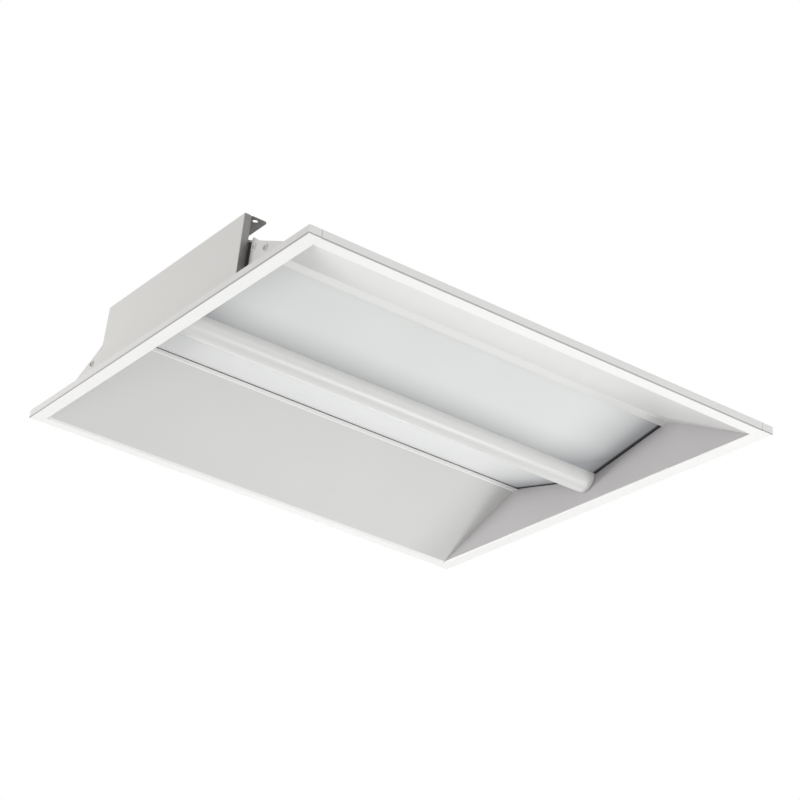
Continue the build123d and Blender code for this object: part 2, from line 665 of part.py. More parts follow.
def clip_rivets():
    """Pivot rivets of the four grid clips, clenched flush under their brackets."""
    low = clip_top_z() - clip_sheet
    top = clip_top_z() + clip_sheet + 2 * seam
    rivet = rod(pivot_radius, low, top, (-clip_x, -clip_y))
    head = extrude(RegularPolygon(pivot_head, pivot_head_sides), amount=pivot_head_height)
    rivet += Pos(-clip_x, -clip_y, top) * head
    side = [rivet, mirrored(rivet)]
    return Compound(side + [turned(piece) for piece in side])


def corner_gussets():
    """L-shaped plates on top of the trim that join the end and side flanges."""
    outer, width = half - bend_outer, trim_width - gusset_inset
    corner = [(-outer, -outer), (-outer + gusset_arm, -outer), (-outer + gusset_arm, -outer + width),
              (-outer + width, -outer + width), (-outer + width, -outer + gusset_arm),
              (-outer, -outer + gusset_arm)]
    plate = along_z(outline(corner), sheet + seam, 2 * sheet + seam)
    side = [plate, mirrored(plate)]
    return Compound(side + [turned(piece) for piece in side])


def build():
    """Every node of the light, by name."""
    nodes = {}
    for name, maker in (("end_plate", end_plate), ("end_cap", end_cap), ("end_reflector", end_reflector),
                        ("spine_cap", spine_cap_piece)):
        nodes[name + "_near"] = maker()
        nodes[name + "_far"] = turned(nodes[name + "_near"])
    for name, maker in (("side_reflector", side_reflector), ("diffuser", diffuser),
                        ("diffuser_gasket", diffuser_gasket), ("lens_clips", lens_clips),
                        ("led_board", led_board), ("led_chips", led_chips)):
        nodes[name + "_right"] = maker()
        nodes[name + "_left"] = mirrored(nodes[name + "_right"])
    for name, maker in (("clip_bracket", clip_bracket), ("grid_clip", grid_clip)):
        near_right = maker()
        nodes[name + "_near_right"] = near_right
        nodes[name + "_near_left"] = mirrored(near_right)
        nodes[name + "_far_left"] = turned(near_right)
        nodes[name + "_far_right"] = turned(mirrored(near_right))
    for maker in (light_seals, end_rivets, spine_heat_sink, spine_screws, upper_reflector, led_driver,
                  driver_screws, earth_screw, compartment_divider, lead_grommet, driver_cover,
                  cover_hinge_leaf, cover_hinge_pin, cover_stud, splice_cover, splice_screws,
                  supply_bushing, knockout_blank, disconnect_socket, disconnect_plug, clip_rivets,
                  corner_gussets):
        nodes[maker.__name__] = maker()
    return nodes


os.makedirs("parts", exist_ok=True)
for node, shape in build().items():
    export_step(shape, f"parts/{node}.step")
    print(node, f"{shape.volume:.1f} mm3", len(shape.solids()), "solids")
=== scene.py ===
"""Dressed model of the recessed troffer light: finishes, fasteners, lamps and camera.

Lengths are in metres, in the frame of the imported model: the spine runs along X, +Z is up into the
ceiling, and the underside of the trim is z = 0.
"""
import logging
import math
from collections.abc import Callable, Mapping, Sequence
from dataclasses import dataclass, field
from enum import Enum
from typing import Any

import bmesh
import bpy
from mathutils import Matrix, Vector


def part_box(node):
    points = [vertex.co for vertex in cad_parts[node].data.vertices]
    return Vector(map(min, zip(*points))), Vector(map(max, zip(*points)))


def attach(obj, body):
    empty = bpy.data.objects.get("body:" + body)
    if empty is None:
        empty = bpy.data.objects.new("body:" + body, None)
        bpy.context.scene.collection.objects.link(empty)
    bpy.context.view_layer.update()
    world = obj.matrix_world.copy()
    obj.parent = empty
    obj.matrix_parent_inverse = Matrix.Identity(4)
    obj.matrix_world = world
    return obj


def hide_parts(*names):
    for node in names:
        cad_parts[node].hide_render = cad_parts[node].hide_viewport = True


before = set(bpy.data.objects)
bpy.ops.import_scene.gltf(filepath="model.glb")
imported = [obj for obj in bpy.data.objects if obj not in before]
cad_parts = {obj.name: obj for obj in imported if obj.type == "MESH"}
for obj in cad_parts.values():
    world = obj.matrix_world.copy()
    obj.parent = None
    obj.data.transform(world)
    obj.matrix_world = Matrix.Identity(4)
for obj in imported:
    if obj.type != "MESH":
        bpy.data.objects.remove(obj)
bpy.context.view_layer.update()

log = logging.getLogger("troffer")

Rgb = tuple[float, float, float]
Profile = Sequence[tuple[float, float]]
MM = 0.001
WELD = 1e-6  # Vertices closer than this are one.
BLEND = 0.0004  # Width over which one finish gives way to the next.
BOXY, ROUND = 35.0, 50.0  # Edges under this many degrees are shaded smooth.
PEEL, DUST, FILM = 0.0016, 0.00045, 0.09  # Sizes of orange peel, dust grain and handling film.


# ---- Shader kit ---------------------------------------------------------------------------------
def both_ways(operation: str) -> tuple[Callable[["Sock", Any], "Sock"], Callable[["Sock", Any], "Sock"]]:
    """Make the two methods of a Sock that add one kind of Math node.

    Args:
        operation: Name of the Math node's operation.

    Returns:
        The method with the Sock first, and its reflected form with the Sock last.
    """
    def plain(self: "Sock", other: Any) -> "Sock":
        """Result with this Sock first."""
        return self.maths(operation, self, other)

    def reflected(self: "Sock", other: Any) -> "Sock":
        """Result with this Sock last."""
        return self.maths(operation, other, self)

    return plain, reflected


class Sock:
    """Output socket of a shader node, on which Python's operators add Math nodes."""

    def __init__(self, shader: "Shader", socket: bpy.types.NodeSocket) -> None:
        """Wrap a socket.

        Args:
            shader: The shader whose tree holds the socket.
            socket: The output socket.
        """
        self.shader = shader
        self.socket = socket

    def maths(self, operation: str, first: Any, second: Any = None, clamp: bool = False) -> "Sock":
        """Add a Math node.

        Args:
            operation: Name of the Math node's operation.
            first: First value, a number or a Sock.
            second: Second value, or None where the operation has one.
            clamp: Whether the result is kept between 0 and 1.

        Returns:
            The node's result.
        """
        values = {0: first} if second is None else {0: first, 1: second}
        return self.shader.node("ShaderNodeMath", {"operation": operation, "use_clamp": clamp}, values)

    __add__, __radd__ = both_ways("ADD")
    __sub__, __rsub__ = both_ways("SUBTRACT")
    __mul__, __rmul__ = both_ways("MULTIPLY")
    __truediv__, __rtruediv__ = both_ways("DIVIDE")
    __pow__, __rpow__ = both_ways("POWER")
    __gt__, __lt__ = both_ways("GREATER_THAN")[0], both_ways("LESS_THAN")[0]
    least, most = both_ways("MINIMUM")[0], both_ways("MAXIMUM")[0]

    def __abs__(self) -> "Sock":
        """Size without its sign."""
        return self.maths("ABSOLUTE", self)

    def sine(self) -> "Sock":
        """Sine, in radians."""
        return self.maths("SINE", self)

    def clamped(self) -> "Sock":
        """The value kept between 0 and 1."""
        return self.maths("ADD", self, 0.0, clamp=True)

    def ramp(self, low: float, high: float) -> "Sock":
        """Straight rise from 0 at `low` to 1 at `high`, kept between 0 and 1.

        Args:
            low: Value that gives 0.
            high: Value that gives 1; below `low` for a fall.

        Returns:
            The risen value.
        """
        return ((self - low) / (high - low)).clamped()

    def eased(self, low: float, high: float) -> "Sock":
        """Rise from 0 at `low` to 1 at `high` that starts and ends gently, so that no edge shows.

        Args:
            low: Value that gives 0.
            high: Value that gives 1.

        Returns:
            The risen value.
        """
        rise = self.ramp(low, high)
        return rise * rise * (3.0 - rise * 2.0)


class Shader:
    """Node tree of one finish, with the calls that all the finishes share."""

    def __init__(self, name: str) -> None:
        """Start a material that holds one Principled shader.

        Args:
            name: Name of the material.
        """
        self.material = bpy.data.materials.new(name)
        self.material.use_nodes = True
        self.tree = self.material.node_tree
        self.tree.nodes.clear()
        self.surface = self.tree.nodes.new("ShaderNodeBsdfPrincipled")
        output = self.tree.nodes.new("ShaderNodeOutputMaterial")
        self.tree.links.new(self.surface.outputs["BSDF"], output.inputs["Surface"])

    def node(self, kind: str, settings: Mapping[str, Any] | None = None,
             inputs: Mapping[Any, Any] | None = None, output: int | str = 0) -> Sock:
        """Add one node.

        Args:
            kind: Type name of the node.
            settings: Properties of the node, set first.
            inputs: Values or links of its sockets, by name, identifier or place.
            output: The output socket that is wanted.

        Returns:
            That output socket.
        """
        made = self.tree.nodes.new(kind)
        for name, value in (settings or {}).items():
            setattr(made, name, value)
        for key, value in (inputs or {}).items():
            self.join(self._find(made.inputs, key), value)
        return Sock(self, self._find(made.outputs, output))

    @staticmethod
    def _find(sockets: Sequence[bpy.types.NodeSocket], key: int | str) -> bpy.types.NodeSocket:
        """Find a socket by its place, identifier or name."""
        if isinstance(key, int):
            return sockets[key]
        return next((socket for socket in sockets if socket.identifier == key), None) or sockets[key]

    def join(self, socket: bpy.types.NodeSocket, value: Any) -> None:
        """Link a Sock to an input socket, or set the socket's own value.

        Args:
            socket: The input socket.
            value: A Sock, a number, or a colour or vector as a tuple.
        """
        if isinstance(value, Sock):
            self.tree.links.new(value.socket, socket)
        elif socket.type == "RGBA" and len(value) == 3:
            socket.default_value = (*value, 1.0)
        else:
            socket.default_value = value

    def set(self, **values: Any) -> None:
        """Set sockets of the Principled shader; a name's underscores stand for spaces."""
        for name, value in values.items():
            self.join(self.surface.inputs[name.replace("_", " ")], value)

    def place(self, scale: Sequence[float] = (1.0, 1.0, 1.0)) -> Sock:
        """Object coordinates of the piece, in metres, scaled by a Mapping node.

        Args:
            scale: Factor on each axis.

        Returns:
            The coordinates.
        """
        spot = self.node("ShaderNodeTexCoord", output="Object")
        return self.node("ShaderNodeMapping", {"vector_type": "POINT"},
                         {"Vector": spot, "Scale": tuple(scale)})

    def axes(self) -> tuple[Sock, Sock, Sock]:
        """X, Y and Z of the Object coordinates, in metres."""
        spot = self.node("ShaderNodeTexCoord", output="Object")
        made = self.node("ShaderNodeSeparateXYZ", {}, {0: spot})
        outputs = made.socket.node.outputs
        return made, Sock(self, outputs[1]), Sock(self, outputs[2])

    def noise(self, size: float, detail: float = 2.0, rough: float = 0.5,
              stretch: Sequence[float] = (1.0, 1.0, 1.0)) -> Sock:
        """Soft noise, from 0 to 1 and 0.5 on average.

        Args:
            size: Size of one lump, in metres.
            detail: Number of finer layers.
            rough: Strength of the finer layers.
            stretch: How much longer the lumps are along each axis.

        Returns:
            The noise.
        """
        scale = tuple(1.0 / (size * length) for length in stretch)
        return self.node("ShaderNodeTexNoise", {"noise_dimensions": "3D"},
                         {"Vector": self.place(scale), "Scale": 1.0, "Detail": detail, "Roughness": rough})

    def cells(self, size: float, output: str = "Distance") -> Sock:
        """Cell pattern.

        Args:
            size: Size of one cell, in metres.
            output: Distance or Color.

        Returns:
            The wanted output.
        """
        return self.node("ShaderNodeTexVoronoi", {"feature": "F1", "voronoi_dimensions": "3D"},
                         {"Vector": self.place(), "Scale": 1.0 / size}, output)

    def mix(self, factor: Any, first: Any, second: Any) -> Sock:
        """Colour between two others.

        Args:
            factor: 0 for the first colour, 1 for the second.
            first: A colour or a Sock.
            second: A colour or a Sock.

        Returns:
            The mixed colour.
        """
        return self.node("ShaderNodeMix", {"data_type": "RGBA", "blend_type": "MIX", "clamp_factor": True},
                         {"Factor_Float": factor, "A_Color": first, "B_Color": second}, "Result_Color")

    def mottled(self, pattern: Any, colour: Rgb, low: float, high: float = 1.0) -> Sock:
        """Colour that a pattern makes a little darker and lighter.

        Args:
            pattern: The pattern, from 0 to 1.
            colour: The colour.
            low: Factor on the colour where the pattern is 0.
            high: Factor on the colour where it is 1.

        Returns:
            The mottled colour.
        """
        return self.mix(pattern, shade(colour, low), shade(colour, high))

    @staticmethod
    def varied(middle: float, *swings: tuple[Sock, float]) -> Any:
        """Value that swings about its middle.

        Args:
            middle: The value on average.
            swings: Pairs of a pattern, 0.5 on average, and how far it swings the value.

        Returns:
            The value.
        """
        value: Any = middle
        for pattern, reach in swings:
            value = value + (pattern - 0.5) * reach
        return value

    def bump(self, height: Sock, depth: float) -> None:
        """Feed a bump to the shader's normal.

        Args:
            height: Height pattern, from 0 to 1.
            depth: Depth that a height of 1 stands for, in metres.
        """
        inputs = {"Height": height, "Distance": depth, "Strength": 1.0}
        self.set(Normal=self.node("ShaderNodeBump", {}, inputs, "Normal"))


def shade(colour: Rgb, factor: float) -> Rgb:
    """Colour made darker or lighter by a factor."""
    return tuple(min(1.0, max(0.0, part * factor)) for part in colour)


# ---- Finishes -----------------------------------------------------------------------------------
@dataclass(frozen=True)
class PowderCoat:
    """Baked powder coat with a faint orange peel and a film of dust."""

    name: str
    colour: Rgb
    roughness: float = 0.42
    coat: float = 0.12
    coat_roughness: float = 0.28
    peel_depth: float = 0.00002
    film_low: float = 0.965

    def skin(self, shader: Shader) -> Sock:
        """Give a shader the gloss and the peel of this coat.

        Args:
            shader: The shader.

        Returns:
            Pattern of the film, from 0 to 1.
        """
        film = shader.noise(FILM, 3.0, 0.55)
        peel = shader.noise(PEEL)
        dust = shader.noise(DUST, 1.0)
        shader.set(Roughness=shader.varied(self.roughness, (film, 0.12), (peel, 0.08)),
                   Coat_Weight=self.coat, Coat_Roughness=self.coat_roughness)
        shader.bump(peel * 0.75 + dust * 0.25, self.peel_depth)
        return (film * 0.7 + dust * 0.3).ramp(0.25, 0.75)

    def material(self) -> bpy.types.Material:
        """Material of this finish."""
        shader = Shader(self.name)
        shader.set(Base_Color=shader.mottled(self.skin(shader), self.colour, self.film_low))
        return shader.material


@dataclass(frozen=True)
class FoldedCoat(PowderCoat):
    """Powder coat on a folded sheet, with a tone for each of its faces; `colour` is the wall's.

    The real sheet has one white. The tones of its faces are painted light and shade: the trim is lighter,
    and the lips and the walls are darker. The light line on the crease and the lighter ledge are painted
    highlights, and the dark line on the outer bend and the shade at the far ends of the walls are painted
    shade. The sheets butt near each corner, where the joint shows as a fine line across the lip.
    """

    # Lighter trim and darker lips, each a tone of the one white: painted light and shade.
    trim: Rgb = (0.96, 0.96, 0.945)
    side_lip: Rgb = (0.80, 0.80, 0.79)
    end_lip: Rgb = (0.73, 0.715, 0.705)
    trim_low: float = 0.98
    trim_top: float = 0.0012
    lip_in: float = 0.3003
    # Dark line on the outer bend: painted shade.
    bend_foot: tuple[float, float] = (0.0001, 0.0004)
    bend_top: float = 0.0015
    bend_share: float = 0.75
    joint_x: float = 0.28645
    joint_width: float = 0.0005
    joint_share: float = 0.70
    # Tone of the painted shade on the bend and of the joint's dark line.
    bend_shade_and_joint_tone: float = 0.30
    ledge_y: float = 0.1461
    # Lighter band of the wall beside the lens: painted highlight.
    ledge_highlight_tone: float = 1.12
    crease_y: float = 0.1466
    crease_width: float = 0.0016
    # Light line on the crease: painted highlight.
    crease_highlight_tone: float = 1.28
    # Darker far ends of the walls: painted shade.
    wall_shade_right: tuple[float, float] = (0.12, 0.275)
    wall_shade_left: tuple[float, float] = (0.215, 0.284)
    wall_shade_share: float = 0.34
    wall_shade_tone: float = 0.5

    def material(self) -> bpy.types.Material:
        """Material of this finish, split where the sheet folds."""
        shader = Shader(self.name)
        tone = self.skin(shader)
        x, y, height = shader.axes()
        above = height.ramp(self.trim_top, self.trim_top + BLEND)
        outer = abs(x).most(abs(y)) > self.lip_in
        # Painted shade on the outer bend.
        bend = outer * height.ramp(*self.bend_foot) * height.ramp(self.bend_top + BLEND, self.bend_top)
        joint = outer * above * (abs(abs(x) - self.joint_x) < self.joint_width / 2) * (abs(y) > self.lip_in)
        lines = (bend * self.bend_share + joint * self.joint_share).least(1.0)
        # Painted highlight on the crease.
        crease = abs(abs(y) - self.crease_y) < self.crease_width / 2
        # Painted shade at the far ends of the walls.
        right = x.eased(*self.wall_shade_right) * (y < 0.0)
        left = x.eased(*self.wall_shade_left) * (y > 0.0)
        wall = shader.mottled(tone, self.colour, self.film_low)
        # Painted highlight on the ledge beside the lens.
        ledge = shader.mix(abs(y) < self.ledge_y, wall, shade(self.colour, self.ledge_highlight_tone))
        slope = shader.mix((right + left) * self.wall_shade_share, ledge, shade(self.colour, self.wall_shade_tone))
        inside = shader.mix(crease, slope, shade(self.colour, self.crease_highlight_tone))
        # Lips and trim in their own tones of the one white: painted light and shade.
        lip = shader.mix(abs(y) > self.lip_in, self.end_lip, self.side_lip)
        trim = shader.mottled(tone, self.trim, self.trim_low)
        sheet = shader.mix(above, trim, shader.mix(outer, inside, lip))
        # Painted shade on the bend, and the dark line of the joint.
        shader.set(Base_Color=shader.mix(lines, sheet, shade(self.end_lip, self.bend_shade_and_joint_tone)))
        return shader.material


@dataclass(frozen=True)
class CapFinish:
    """Dull galvanised end cap, painted white on its outer face."""

    name: str
    paint: Rgb
    metal: Rgb
    face_x: float = 0.2936
    metallic: float = 0.35

    def material(self) -> bpy.types.Material:
        """Material of this finish, split at the cap's front face."""
        shader = Shader(self.name)
        x, _, _ = shader.axes()
        painted = abs(x).ramp(self.face_x, self.face_x + BLEND)
        film = shader.noise(0.08, 3.0, 0.55)
        peel = shader.noise(PEEL)
        drawn = shader.noise(0.0009, stretch=(1.0, 1.0, 40.0))
        spangle = shader.node("ShaderNodeRGBToBW", {}, {0: shader.cells(0.007, "Color")})
        metal = shader.mottled(spangle * 0.6 + drawn * 0.4, self.metal, 0.84, 1.12)
        paint = shader.mottled(film.ramp(0.3, 0.7), self.paint, 0.97)
        shader.set(Base_Color=shader.mix(painted, metal, paint), Metallic=(1.0 - painted) * self.metallic,
                   Roughness=shader.varied(0.46, (film, 0.1), (peel, 0.08)))
        shader.bump(peel, 0.00002)
        return shader.material


@dataclass(frozen=True)
class SpinePaint:
    """Smooth satin paint over an extruded bar, with faint draw lines along it."""

    name: str
    colour: Rgb

    def material(self) -> bpy.types.Material:
        """Material of this finish."""
        shader = Shader(self.name)
        film = shader.noise(0.06, stretch=(6.0, 1.0, 1.0))
        lines = shader.noise(0.0009, stretch=(400.0, 1.0, 1.0))
        shader.set(Base_Color=shader.mottled(film.ramp(0.3, 0.7), self.colour, 0.975),
                   Roughness=shader.varied(0.37, (film, 0.1), (lines, 0.05)),
                   Coat_Weight=0.2, Coat_Roughness=0.25)
        shader.bump(lines, 0.000012)
        return shader.material


@dataclass(frozen=True)
class FrostedAcrylic:
    """Frosted sheet with a fine grain in its face.

    It is painted darker towards its ends, most at the far one: painted shade. These are painted here, and
    whether they are the sheet's own is a guess. Beside the spine it is painted darker for the spine's
    shadow, and the black line at each end is painted shadow where it meets the end wall.
    """

    name: str
    colour: Rgb
    # Colour of the painted shade towards the ends and beside the spine.
    painted_shade: Rgb
    end_x: float = 0.2817
    end_reach: float = 0.10
    end_power: float = 2.2
    near_end_shade: float = 0.35
    far_end_shade: float = 0.95
    # Width of the black line at each end: painted shadow.
    border: float = 0.0028
    border_share: float = 0.85
    end_shadow_tone: Rgb = (0.05, 0.05, 0.055)
    spine_y: float = 0.0165
    spine_reach: float = 0.048
    spine_power: float = 1.6
    spine_shadow_share: float = 0.60
    most_shade: float = 0.92

    def material(self) -> bpy.types.Material:
        """Material of this finish."""
        shader = Shader(self.name)
        x, y, _ = shader.axes()
        cloud = shader.noise(0.12)
        grain = shader.noise(0.0009, 3.0, 0.7)
        speck = shader.cells(0.0012).ramp(0.05, 0.55)
        # Painted shade towards the ends, and painted shadow of the spine beside it.
        share = (x > 0.0) * (self.far_end_shade - self.near_end_shade) + self.near_end_shade
        ends = abs(x).ramp(self.end_x - self.end_reach, self.end_x) ** self.end_power
        beside = abs(y).ramp(self.spine_y + self.spine_reach, self.spine_y) ** self.spine_power
        dim = (ends * share + beside * self.spine_shadow_share).least(self.most_shade)
        clear = shader.mottled((cloud * 0.45 + grain * 0.55).ramp(0.3, 0.7), self.colour, 0.945)
        # Black line at each end: painted shadow where the panel meets the end wall.
        foam = abs(x).ramp(self.end_x - self.border, self.end_x - self.border * 0.7) * self.border_share
        shader.set(Base_Color=shader.mix(foam, shader.mix(dim, clear, self.painted_shade), self.end_shadow_tone),
                   Roughness=shader.varied(0.36, (grain, 0.2)),
                   IOR=1.49, Specular_IOR_Level=0.2, Diffuse_Roughness=1.0)
        shader.bump(grain * 0.7 + speck * 0.3, 0.00004)
        return shader.material


@dataclass(frozen=True)
class Foam:
    """Closed-cell foam with open pores in its cut faces."""

    name: str
    colour: Rgb

    def material(self) -> bpy.types.Material:
        """Material of this finish."""
        shader = Shader(self.name)
        pores = shader.cells(0.0009).ramp(0.1, 0.6)
        crumb = shader.noise(0.0004, rough=0.6)
        shader.set(Base_Color=shader.mottled(pores, self.colour, 0.45, 1.4),
                   Roughness=shader.varied(0.86, (crumb, 0.16)))
        shader.bump(pores * 0.7 + crumb * 0.3, 0.0002)
        return shader.material


class Plating(Enum):
    """Bare or plated metals of the hidden hardware: colour, roughness, and whether it is spangled."""

    ZINC = ((0.60, 0.61, 0.64), 0.42, False)
    SPRING = ((0.55, 0.55, 0.56), 0.32, False)
    GALVANISED = ((0.60, 0.62, 0.63), 0.42, True)
    GREEN = ((0.05, 0.30, 0.12), 0.36, False)


@dataclass(frozen=True)
class PlatedMetal:
    """Steel with a plated or dipped skin, spangled where it is galvanised."""

    name: str
    plating: Plating
    metallic: float = 0.92

    def material(self) -> bpy.types.Material:
        """Material of this finish."""
        colour, roughness, spangled = self.plating.value
        shader = Shader(self.name)
        stain = shader.noise(0.02, 3.0, 0.6)
        brush = shader.noise(0.0006, stretch=(30.0, 1.0, 1.0))
        tone = stain.ramp(0.3, 0.7)
        if spangled:
            spangle = shader.node("ShaderNodeRGBToBW", {}, {0: shader.cells(0.008, "Color")})
            tone = spangle * 0.7 + tone * 0.3
        shader.set(Base_Color=shader.mottled(tone, colour, 0.82, 1.1), Metallic=self.metallic,
                   Roughness=shader.varied(roughness, (tone, 0.14), (brush, 0.12)))
        shader.bump(brush * 0.6 + stain * 0.4, 0.00003)
        return shader.material


@dataclass(frozen=True)
class Moulded:
    """Moulded plastic, rubber or enamel in one colour."""

    name: str
    colour: Rgb
    roughness: float = 0.4
    texture: float = 0.0007
    coat: float = 0.0

    def material(self) -> bpy.types.Material:
        """Material of this finish."""
        shader = Shader(self.name)
        texture = shader.noise(self.texture, rough=0.6)
        flow = shader.noise(0.012)
        shader.set(Base_Color=shader.mottled(flow.ramp(0.3, 0.7), self.colour, 0.9),
                   Roughness=shader.varied(self.roughness, (texture, 0.16), (flow, 0.08)),
                   Coat_Weight=self.coat, Coat_Roughness=0.2)
        shader.bump(texture, 0.00003)
        return shader.material


@dataclass(frozen=True)
class SolderMask:
    """White solder mask over copper, with the faint lines of the tracks under it."""

    name: str
    colour: Rgb
    track_pitch: float = 0.0187

    def material(self) -> bpy.types.Material:
        """Material of this finish."""
        shader = Shader(self.name)
        x, _, _ = shader.axes()
        weave = shader.noise(0.0004, 1.0)
        track = (x * (math.tau / self.track_pitch)).sine().ramp(0.86, 0.94)
        shader.set(Base_Color=shader.mottled(track, self.colour, 1.0, 0.82),
                   Roughness=shader.varied(0.35, (weave, 0.2)), Coat_Weight=0.2, Coat_Roughness=0.2)
        shader.bump(track * 0.8 + weave * 0.2, 0.00003)
        return shader.material


class Palette:
    """All finishes of the troffer, made once.

    The tones of the faces that the photograph shows were set against it together with the lamps.
    """

    def __init__(self) -> None:
        """Make each material."""
        # The reflector, the end plates and the end reflectors are the trim's white in darker tones: painted
        # shade.
        self.reflector = FoldedCoat("reflector_coat", (0.755, 0.755, 0.745), 0.38).material()
        self.end_plate = FoldedCoat("end_plate_coat", (0.70, 0.69, 0.675)).material()
        self.inner = PowderCoat("inner_coat", (0.53, 0.515, 0.52), 0.5).material()
        self.pan = PowderCoat("pan_coat", (0.82, 0.82, 0.815), 0.55).material()
        self.end_cap = CapFinish("end_cap_coat", (0.70, 0.69, 0.67), (0.26, 0.255, 0.25)).material()
        self.clinch = PowderCoat("clinch_coat", (0.74, 0.725, 0.705), 0.34, coat=0.3).material()
        # Darker tone of the same white in the dimples: painted shade in their hollows.
        self.dimple = PowderCoat("dimple_shade_coat", (0.46, 0.455, 0.44), 0.4).material()
        self.spine = SpinePaint("spine_coat", (0.755, 0.755, 0.745)).material()
        self.acrylic = FrostedAcrylic("frosted_acrylic", (0.872, 0.884, 0.876),
                                      (0.36, 0.37, 0.385)).material()
        # Black of the seals and gaskets: the seals' black is painted shadow, the gaskets' partly their own
        # and partly painted shadow.
        self.foam = Foam("black_foam", (0.016, 0.016, 0.018)).material()
        self.board = SolderMask("solder_mask", (0.86, 0.86, 0.84)).material()
        self.phosphor = Moulded("phosphor", (0.86, 0.70, 0.16), 0.3, coat=0.4).material()
        self.package = Moulded("led_package", (0.86, 0.86, 0.84), 0.35).material()
        self.zinc = PlatedMetal("zinc_plate", Plating.ZINC).material()
        self.spring = PlatedMetal("spring_steel", Plating.SPRING).material()
        self.galvanised = PlatedMetal("galvanised_sheet", Plating.GALVANISED).material()
        self.green = PlatedMetal("green_plate", Plating.GREEN).material()
        self.driver = Moulded("driver_enamel", (0.80, 0.80, 0.78), 0.38, 0.0012, coat=0.15).material()
        self.rubber = Moulded("black_rubber", (0.025, 0.025, 0.027), 0.72).material()
        self.nylon = Moulded("black_nylon", (0.035, 0.035, 0.038), 0.5).material()
        self.connector_white = Moulded("connector_white", (0.82, 0.82, 0.80), 0.34).material()
        self.connector_orange = Moulded("connector_orange", (0.80, 0.25, 0.03), 0.34).material()


# ---- Meshes -------------------------------------------------------------------------------------
def linked(name: str, data: bpy.types.ID) -> bpy.types.Object:
    """New object in the scene, at the origin.

    Args:
        name: Name of the object.
        data: Its mesh, lamp or camera.

    Returns:
        The object.
    """
    made = bpy.data.objects.new(name, data)
    bpy.context.scene.collection.objects.link(made)
    return made


def meshed(bm: bmesh.types.BMesh, name: str, materials: Sequence[bpy.types.Material]) -> bpy.types.Mesh:
    """Turn a bmesh into a mesh.

    Args:
        bm: The shape; it is freed.
        name: Name of the mesh.
        materials: Its materials, in the order of the faces' material numbers.

    Returns:
        The mesh.
    """
    mesh = bpy.data.meshes.new(name)
    bm.to_mesh(mesh)
    bm.free()
    for material in materials:
        mesh.materials.append(material)
    return mesh


def scaled(profile: Profile, radius: float, height: float, foot: float = 0.0) -> list[tuple[float, float]]:
    """Profile of shares brought to its size.

    Args:
        profile: Points of (share of the radius, share of the height).
        radius: The radius.
        height: The height.
        foot: Height that is added to every point.

    Returns:
        Points of (radius, height).
    """
    return [(radius * out, foot + height * up) for out, up in profile]


def spun(bm: bmesh.types.BMesh, profile: Profile, place: Matrix, steps: int, number: int = 0) -> None:
    """Spin a profile of (radius, height) points round the local Z axis.

    Args:
        bm: The bmesh that gets the shape.
        profile: The points, from the foot to the top.
        place: Where the local frame stands.
        steps: Number of steps round the axis.
        number: Material number of the faces.
    """
    axis = place.to_3x3() @ Vector((0.0, 0.0, 1.0))
    points = [bm.verts.new(place @ Vector((radius, 0.0, height))) for radius, height in profile]
    edges = [bm.edges.new(pair) for pair in zip(points, points[1:])]
    faces_before = set(bm.faces)
    bmesh.ops.spin(bm, geom=points + edges, cent=place.translation, axis=axis, angle=math.tau,
                   steps=steps, use_merge=True, use_duplicate=False)
    new = [face for face in bm.faces if face not in faces_before]
    for face in new:
        face.material_index = number
    spread = {vert for face in new for vert in face.verts}
    bmesh.ops.remove_doubles(bm, verts=[vert for vert in bm.verts if vert in spread], dist=WELD)


def brick(bm: bmesh.types.BMesh, size: Sequence[float], place: Matrix, ease: float = 0.0,
          number: int = 0, segments: int = 2) -> None:
    """Add a box, its edges eased by a small round.

    Args:
        bm: The bmesh that gets the shape.
        size: Lengths along the local axes.
        place: Middle of the box and its turn.
        ease: Radius of the eased edges.
        number: Material number of the faces.
        segments: Number of steps of the round.
    """
    made = bmesh.ops.create_cube(bm, size=1.0, matrix=place @ Matrix.Diagonal((*size, 1.0)))
    verts = made["verts"]
    if ease:
        edges = [edge for edge in bm.edges if edge.verts[0] in verts]
        rounded = bmesh.ops.bevel(bm, geom=edges, offset=ease, offset_type="OFFSET", segments=segments,
                                  profile=0.5, affect="EDGES", clamp_overlap=True, material=-1)
        verts = [*rounded["verts"], *(vert for vert in verts if vert.is_valid)]
    for face in {face for vert in verts for face in vert.link_faces}:
        face.material_index = number


